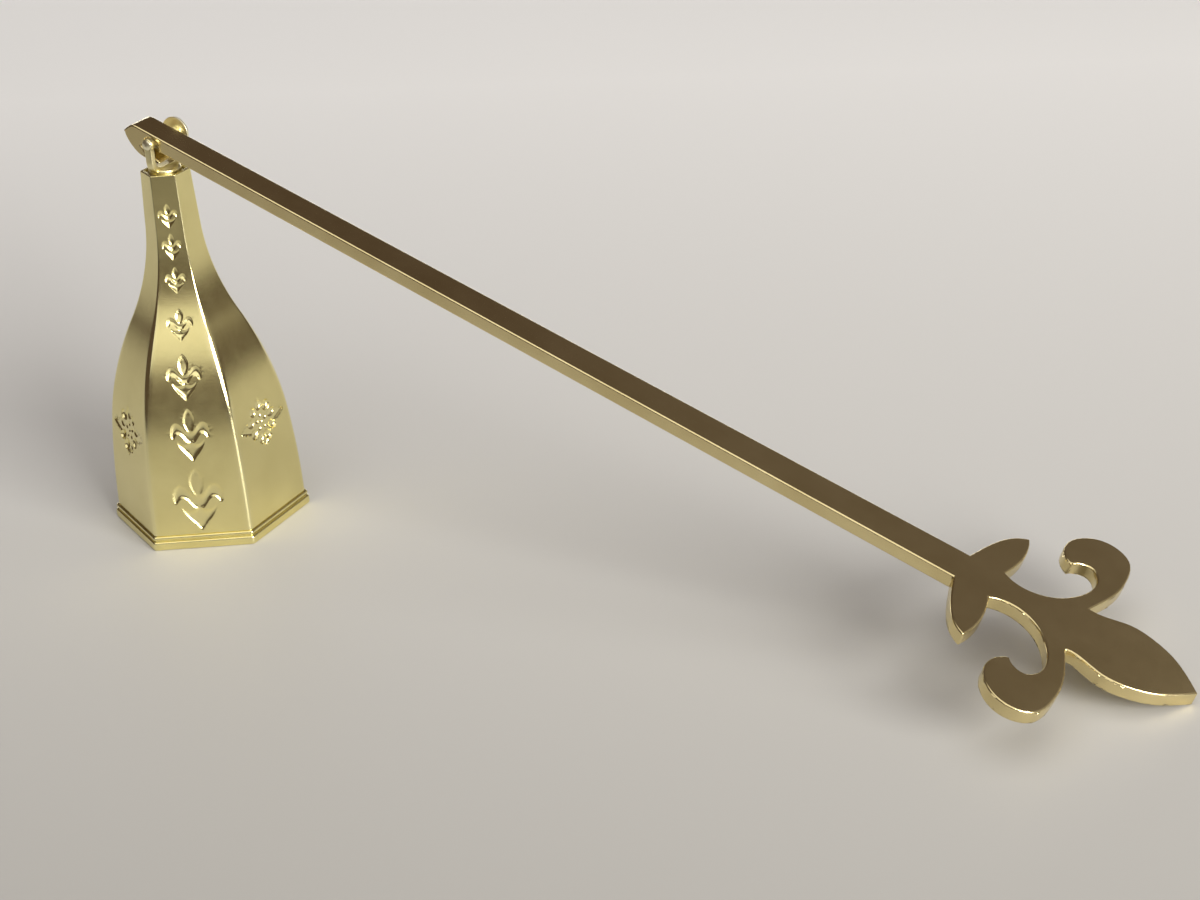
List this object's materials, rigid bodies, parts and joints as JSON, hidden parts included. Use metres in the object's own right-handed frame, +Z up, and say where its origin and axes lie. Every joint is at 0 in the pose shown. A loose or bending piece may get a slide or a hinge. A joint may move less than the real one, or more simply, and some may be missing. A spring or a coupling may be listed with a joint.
{
  "type": "candle snuffer",
  "caption": "Faceted flared brass bell with sunk lilies and rosettes, pivoted at its neck on a long flat bar handle that ends in an open lily.",
  "frame": {"origin": "centre of the bell's foot, on the table", "axes": "+Z up along the bell's axis, +X towards the side on which the handle leans down to the table"},
  "size_m": [0.2211, 0.0592, 0.0832],
  "materials": {
    "satin_brass": "satin",
    "polished_brass": "polished",
    "handle_brass": "satin"
  },
  "bodies": {
    "bell": {"bell_shell": "satin_brass", "foot_moulding": "satin_brass", "neck_cap": "polished_brass", "fork": "polished_brass", "pivot_pin": "polished_brass"},
    "handle": {"handle": "handle_brass"}
  },
  "joints": [
    {"name": "handle_swing", "type": "hinge", "parent": "bell", "child": "handle", "pos_m": [0, 0, 0.08], "axis": [0, -1, 0], "range_deg": [-26, 49]}
  ]
}
